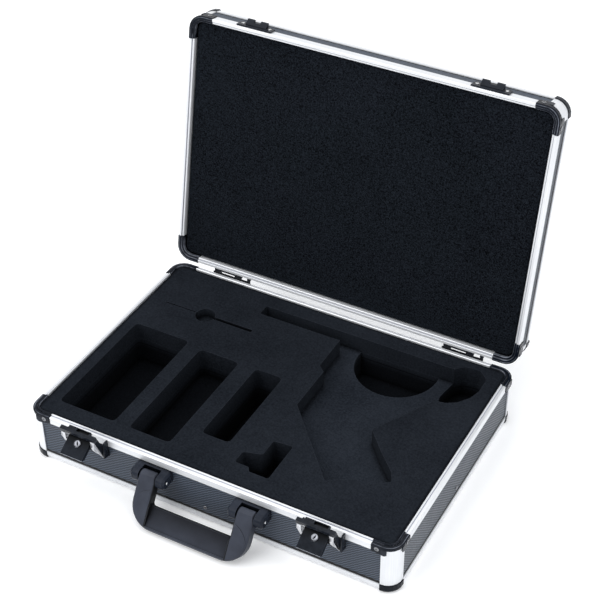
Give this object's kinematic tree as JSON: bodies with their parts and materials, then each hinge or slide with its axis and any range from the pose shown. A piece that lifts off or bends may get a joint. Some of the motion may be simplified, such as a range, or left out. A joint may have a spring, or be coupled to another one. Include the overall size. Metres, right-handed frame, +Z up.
{
  "type": "microphone case",
  "caption": "Aluminium framed hard case with a cut foam insert, a foam lined hinged lid, draw latches and a folding handle",
  "frame": {"origin": "middle of the open case's bounding box, on the ground that the feet stand on", "axes": "+Z up, +X right along the front, the front with the handle faces -Y and the hinges are at +Y"},
  "size_m": [0.454, 0.4534, 0.3842],
  "materials": {
    "aluminium": "satin anodised extrusion",
    "plastic_black": "fine grained black plastic",
    "board_black": "black laminate with a fine ribbed grain on board",
    "steel_black": "black coated pressed steel",
    "foam_black": "fine closed foam",
    "foam_lining": "coarse open foam"
  },
  "bodies": {
    "base": {"base_boards": "board_black", "base_rim_cap_rear_left": "plastic_black", "base_post_rear_left": "aluminium", "base_corner_foot_rear_left": "plastic_black", "base_rim_cap_rear_right": "plastic_black", "base_post_rear_right": "aluminium", "base_corner_foot_rear_right": "plastic_black", "base_rim_cap_front_right": "plastic_black", "base_post_front_right": "aluminium", "base_corner_foot_front_right": "plastic_black", "base_rim_cap_front_left": "plastic_black", "base_post_front_left": "aluminium", "base_corner_foot_front_left": "plastic_black", "base_rim_rear": "aluminium", "base_edge_rear": "aluminium", "base_rim_right": "aluminium", "base_edge_right": "aluminium", "base_rim_front": "aluminium", "base_edge_front": "aluminium", "base_rim_left": "aluminium", "base_edge_left": "aluminium", "foam_insert": "foam_black", "hinge_left_base_leaf": "steel_black", "handle_bracket_left": "plastic_black", "latch_left_plate": "steel_black", "hinge_right_base_leaf": "steel_black", "handle_bracket_right": "plastic_black", "latch_right_plate": "steel_black"},
    "lid": {"lid_boards": "board_black", "lid_rim_cap_front_left": "plastic_black", "lid_post_front_left": "aluminium", "lid_corner_foot_front_left": "plastic_black", "lid_rim_cap_front_right": "plastic_black", "lid_post_front_right": "aluminium", "lid_corner_foot_front_right": "plastic_black", "lid_rim_cap_rear_right": "plastic_black", "lid_post_rear_right": "aluminium", "lid_corner_foot_rear_right": "plastic_black", "lid_rim_cap_rear_left": "plastic_black", "lid_post_rear_left": "aluminium", "lid_corner_foot_rear_left": "plastic_black", "lid_rim_front": "aluminium", "lid_edge_front": "aluminium", "lid_rim_right": "aluminium", "lid_edge_right": "aluminium", "lid_rim_rear": "aluminium", "lid_edge_rear": "aluminium", "lid_rim_left": "aluminium", "lid_edge_left": "aluminium", "lid_lining": "foam_lining", "keeper_left": "steel_black", "keeper_right": "steel_black", "hinge_left_lid_leaf": "steel_black", "hinge_right_lid_leaf": "steel_black"},
    "handle": {"handle": "plastic_black"},
    "latch_left_frame": {"latch_left_frame": "steel_black"},
    "latch_left_lever": {"latch_left_lever": "plastic_black"},
    "latch_right_frame": {"latch_right_frame": "steel_black"},
    "latch_right_lever": {"latch_right_lever": "plastic_black"}
  },
  "joints": [
    {"name": "lid_hinge", "type": "hinge", "parent": "base", "child": "lid", "pos_m": [0, 0.13298, 0.0701], "axis": [1, 0, 0], "range_deg": [0, 101.1]},
    {"name": "latch_left_swing", "type": "hinge", "parent": "base", "child": "latch_left_frame", "pos_m": [-0.144, -0.18632, 0.048], "axis": [1, 0, 0], "range_deg": [-17, 0]},
    {"name": "latch_left_lever_fold", "type": "hinge", "parent": "latch_left_frame", "child": "latch_left_lever", "pos_m": [-0.144, -0.19608, 0.07001], "axis": [1, 0, 0], "range_deg": [-8, 76]},
    {"name": "latch_right_swing", "type": "hinge", "parent": "base", "child": "latch_right_frame", "pos_m": [0.144, -0.18632, 0.048], "axis": [1, 0, 0], "range_deg": [-17, 0]},
    {"name": "latch_right_lever_fold", "type": "hinge", "parent": "latch_right_frame", "child": "latch_right_lever", "pos_m": [0.144, -0.19608, 0.07001], "axis": [1, 0, 0], "range_deg": [-8, 76]},
    {"name": "handle_pivot", "type": "hinge", "parent": "base", "child": "handle", "pos_m": [0, -0.19282, 0.049], "axis": [1, 0, 0], "range_deg": [-60, 25]}
  ]
}
